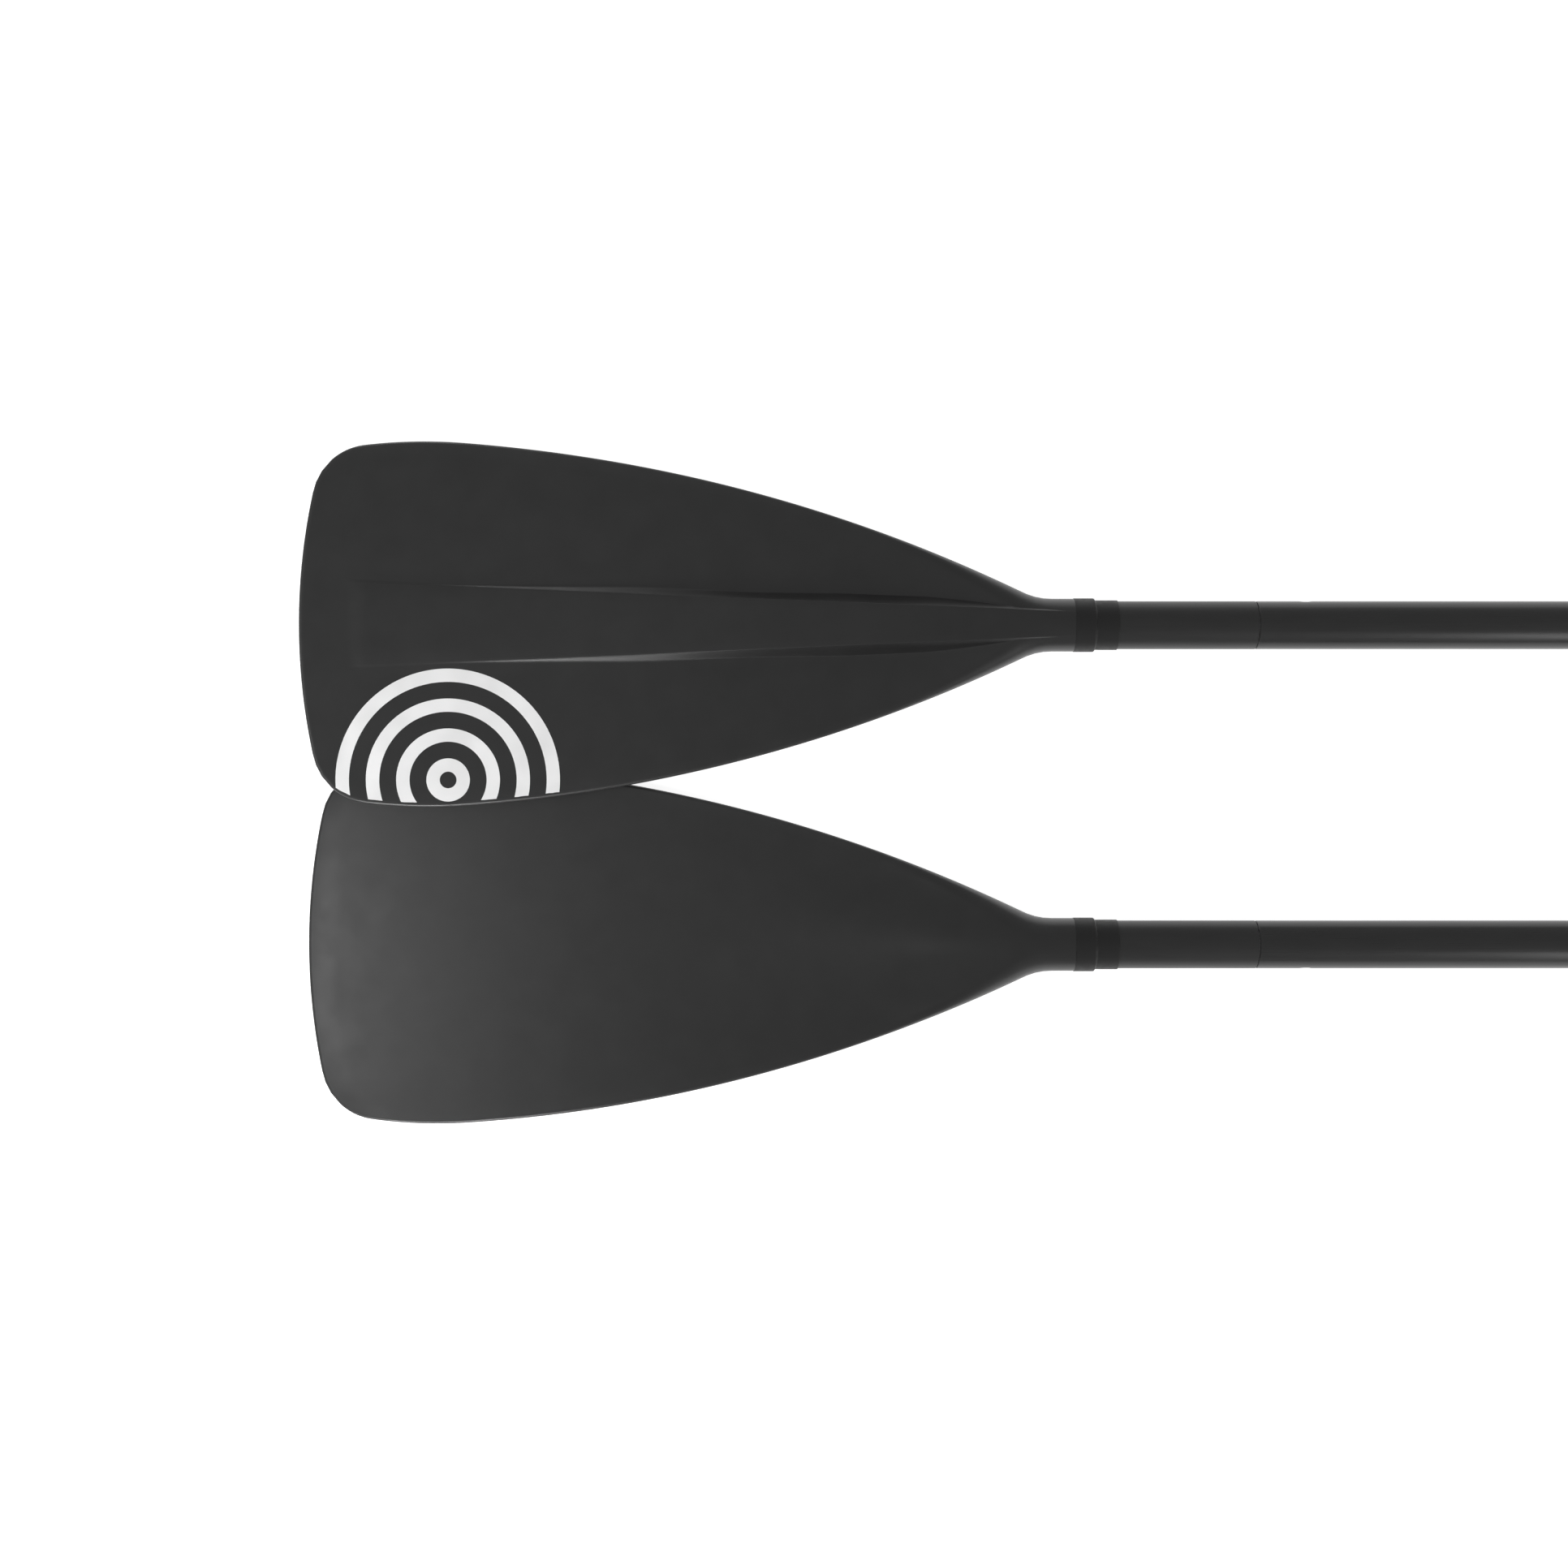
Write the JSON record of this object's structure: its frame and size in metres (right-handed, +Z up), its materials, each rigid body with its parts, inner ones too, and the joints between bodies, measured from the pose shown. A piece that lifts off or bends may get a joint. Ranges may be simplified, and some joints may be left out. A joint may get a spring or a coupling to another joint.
{
  "type": "kayak paddle",
  "caption": "Take-apart kayak paddle laid out as two halves side by side: ribbed-back blade above, smooth power face below, socket and ferrule shafts.",
  "frame": {"origin": "bottom centre of the two halves as they lie, midway between the two shafts, on the floor", "axes": "+X along the shafts from the blade tips to the open ends, +Y from half B towards half A, +Z up"},
  "size_m": [1.178, 0.4134, 0.0325],
  "materials": {
    "blade_nylon": "satin",
    "shrink_film": "matt",
    "matt_tube": "matt black anodised",
    "satin_tube": "satin black anodised",
    "ferrule_metal": "brushed",
    "ferrule_nylon": "satin",
    "liner_nylon": "satin",
    "button_steel": "polished",
    "spring_steel": "plain",
    "seal_rubber": "matt",
    "foam": "closed-cell foam"
  },
  "bodies": {
    "half_a": {"blade_a": "blade_nylon", "neck_sleeve_a": "shrink_film", "stub_tube_a": "matt_tube", "blade_ferrule_a": "ferrule_metal", "blade_button_spring_a": "spring_steel", "main_shaft_a": "satin_tube", "shaft_float_a": "foam", "socket_liner": "liner_nylon", "socket_bulkhead": "liner_nylon"},
    "button_a": {"blade_button_a": "button_steel"},
    "loose_float": {"shaft_float_b": "foam"},
    "seal": {"ferrule_seal": "seal_rubber"},
    "round_core": {"ferrule_end_plug": "liner_nylon", "stub_tube_b": "matt_tube"},
    "half_b": {"blade_b": "blade_nylon", "neck_sleeve_b": "shrink_film", "blade_ferrule_b": "ferrule_metal", "blade_button_spring_b": "spring_steel", "main_shaft_b": "satin_tube", "centre_ferrule": "ferrule_nylon", "centre_button_spring": "spring_steel"},
    "button_b": {"blade_button_b": "button_steel"},
    "button_centre": {"centre_button": "button_steel"}
  },
  "joints": [
    {"name": "half_b_swing", "type": "hinge", "parent": "half_a", "child": "loose_float", "pos_m": [0.559, 0, 0.01625], "axis": [0, 0, 1], "range_deg": [0, 180]},
    {"name": "half_b_insert", "type": "slide", "parent": "loose_float", "child": "seal", "axis": [1, 0, 0], "range_m": [0, 0.0997]},
    {"name": "half_b_feather", "type": "hinge", "parent": "seal", "child": "round_core", "pos_m": [0.509, -0.0967, 0.01625], "axis": [-1, 0, 0], "range_deg": [0, 60]},
    {"name": "half_b_roll", "type": "hinge", "parent": "round_core", "child": "half_b", "pos_m": [0.509, -0.0967, 0.01625], "axis": [-1, 0, 0], "range_deg": [0, 180]},
    {"name": "centre_button_press", "type": "slide", "parent": "half_b", "child": "button_centre", "axis": [0, 0, 1], "range_m": [-0.0035, 0], "stiffness_N_per_m": 3000, "springref_m": 0.001, "deforming": ["centre_button_spring"]},
    {"name": "blade_button_a_press", "type": "slide", "parent": "half_a", "child": "button_a", "axis": [0, 1, 0], "range_m": [-0.0035, 0], "stiffness_N_per_m": 3000, "springref_m": 0.001, "deforming": ["blade_button_spring_a"]},
    {"name": "blade_button_b_press", "type": "slide", "parent": "half_b", "child": "button_b", "axis": [0, -1, 0], "range_m": [-0.0035, 0], "stiffness_N_per_m": 3000, "springref_m": 0.001, "deforming": ["blade_button_spring_b"]}
  ],
  "couplings": [
    {"joint": "half_b_roll", "follows": "half_b_swing", "ratio": 1}
  ]
}
